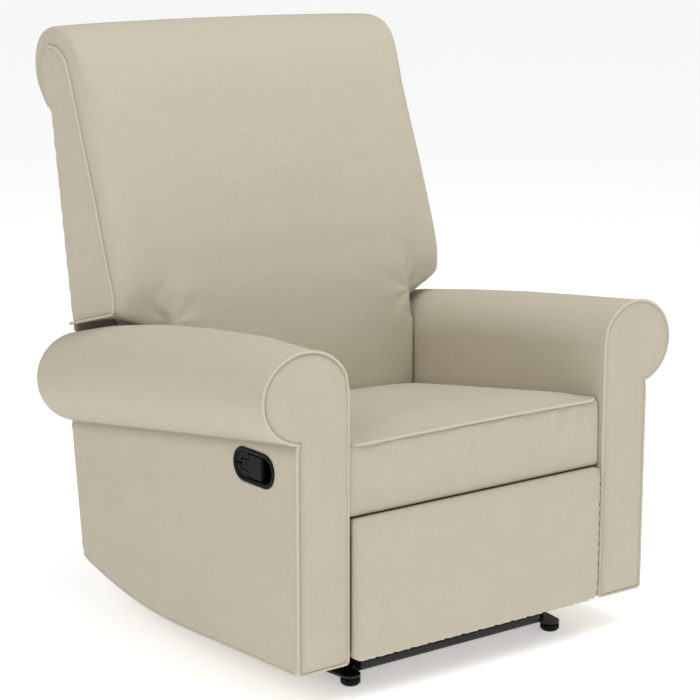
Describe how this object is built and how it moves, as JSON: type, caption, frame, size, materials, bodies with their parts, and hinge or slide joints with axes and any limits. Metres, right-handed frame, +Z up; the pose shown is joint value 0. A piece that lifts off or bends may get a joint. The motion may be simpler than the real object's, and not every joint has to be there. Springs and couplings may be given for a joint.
{
  "type": "recliner armchair",
  "caption": "Upholstered rocker recliner with scroll arms, T-shaped reclining back, swing-out footrest and a recessed release handle in one arm.",
  "frame": {"origin": "on the floor, under the middle of the chair's bounding box", "axes": "+Z up, the sitter faces -Y, +X is the sitter's left; the release handle is on the sitter's right arm, at -X"},
  "size_m": [0.87, 0.8604, 1.042],
  "materials": {
    "fabric": "matte",
    "wood": "matte",
    "black_steel": "satin",
    "spring_steel": "satin",
    "black_plastic": "satin",
    "cable_sleeve": "matte"
  },
  "bodies": {
    "base": {"base_front_tube": "black_steel", "base_rear_tube": "black_steel", "base_rail_left": "black_steel", "base_rail_right": "black_steel", "glide_foot_front_left": "black_plastic", "glide_foot_front_right": "black_plastic", "glide_foot_rear_left": "black_plastic", "glide_foot_rear_right": "black_plastic", "rocker_spring_left": "spring_steel", "rocker_spring_right": "spring_steel"},
    "shell": {"rocker_cam_left": "wood", "rocker_cam_right": "wood", "cam_stretcher_front": "wood", "cam_stretcher_rear": "wood", "arm_upholstery_left": "fabric", "arm_upholstery_right": "fabric", "arm_side_board_left": "wood", "arm_side_board_right": "wood", "arm_front_post_left": "wood", "arm_front_post_right": "wood", "arm_rear_post_left": "wood", "arm_rear_post_right": "wood", "mechanism_plate_left": "black_steel", "mechanism_plate_right": "black_steel", "rear_panel": "fabric", "release_cup": "black_plastic", "release_pin": "spring_steel", "release_cable": "cable_sleeve"},
    "seat": {"seat_front_rail": "wood", "seat_rear_rail": "wood", "seat_side_rail_left": "wood", "seat_side_rail_right": "wood", "seat_spring_1": "spring_steel", "seat_spring_2": "spring_steel", "seat_spring_3": "spring_steel", "seat_spring_4": "spring_steel", "seat_cushion": "fabric", "seat_side_arm_left": "black_steel", "seat_side_arm_right": "black_steel"},
    "back": {"back_cushion": "fabric", "back_core_board": "wood", "outside_back_panel": "fabric", "back_bracket_left": "black_steel", "back_bracket_right": "black_steel"},
    "link_a": {"footrest_link_a_left": "black_steel", "footrest_link_a_right": "black_steel", "torque_tube": "black_steel"},
    "link_b": {"footrest_link_b_left": "black_steel", "footrest_link_b_right": "black_steel"},
    "link_c": {"footrest_link_c_left": "black_steel", "footrest_link_c_right": "black_steel"},
    "link_d": {"footrest_link_d_left": "black_steel", "footrest_link_d_right": "black_steel"},
    "footrest": {"footrest_pad": "fabric", "footrest_board": "wood", "footrest_bracket_left": "black_steel", "footrest_bracket_right": "black_steel"},
    "paddle": {"release_paddle": "black_plastic"},
    "latch": {"latch_pawl": "black_steel"}
  },
  "joints": [
    {"name": "rock", "type": "hinge", "parent": "base", "child": "shell", "pos_m": [0, -0.05917, 0.0458], "axis": [1, 0, 0], "range_deg": [-9, 4], "stiffness_Nm_per_rad": 700, "deforming": ["rocker_spring_left", "rocker_spring_right"]},
    {"name": "seat_glide", "type": "slide", "parent": "shell", "child": "seat", "axis": [0, -0.9895, 0.1444], "range_m": [0, 0.0352]},
    {"name": "recline", "type": "hinge", "parent": "seat", "child": "back", "pos_m": [0, 0.24883, 0.335], "axis": [-1, 0, 0], "range_deg": [0, 25]},
    {"name": "footrest", "type": "hinge", "parent": "shell", "child": "link_a", "pos_m": [0, -0.32417, 0.08], "axis": [1, 0, 0], "range_deg": [0, 45]},
    {"name": "link_b_turn", "type": "hinge", "parent": "link_a", "child": "link_b", "pos_m": [0, -0.33288, 0.17962], "axis": [1, 0, 0], "range_deg": [-135, 0]},
    {"name": "link_d_turn", "type": "hinge", "parent": "link_a", "child": "link_d", "pos_m": [0, -0.3416, 0.27924], "axis": [1, 0, 0], "range_deg": [-135, 0]},
    {"name": "link_c_turn", "type": "hinge", "parent": "link_d", "child": "link_c", "pos_m": [0, -0.35896, 0.18076], "axis": [1, 0, 0], "range_deg": [0, 135]},
    {"name": "footrest_turn", "type": "hinge", "parent": "link_c", "child": "footrest", "pos_m": [0, -0.36768, 0.28038], "axis": [1, 0, 0], "range_deg": [-135, 0]},
    {"name": "release", "type": "hinge", "parent": "shell", "child": "paddle", "pos_m": [-0.366, -0.27117, 0.384], "axis": [0, 0, -1], "range_deg": [0, 30], "stiffness_Nm_per_rad": 0.06, "springref_deg": -11.46},
    {"name": "latch_turn", "type": "hinge", "parent": "shell", "child": "latch", "pos_m": [-0.2647, -0.18117, 0.192], "axis": [1, 0, 0], "range_deg": [0, 15]}
  ],
  "couplings": [
    {"joint": "seat_glide", "follows": "recline", "m_per_rad": 0.080214},
    {"joint": "link_b_turn", "follows": "footrest", "ratio": -3},
    {"joint": "link_d_turn", "follows": "footrest", "ratio": -3},
    {"joint": "link_c_turn", "follows": "footrest", "ratio": 3},
    {"joint": "footrest_turn", "follows": "footrest", "ratio": -3},
    {"joint": "latch_turn", "follows": "release", "ratio": 0.5}
  ]
}
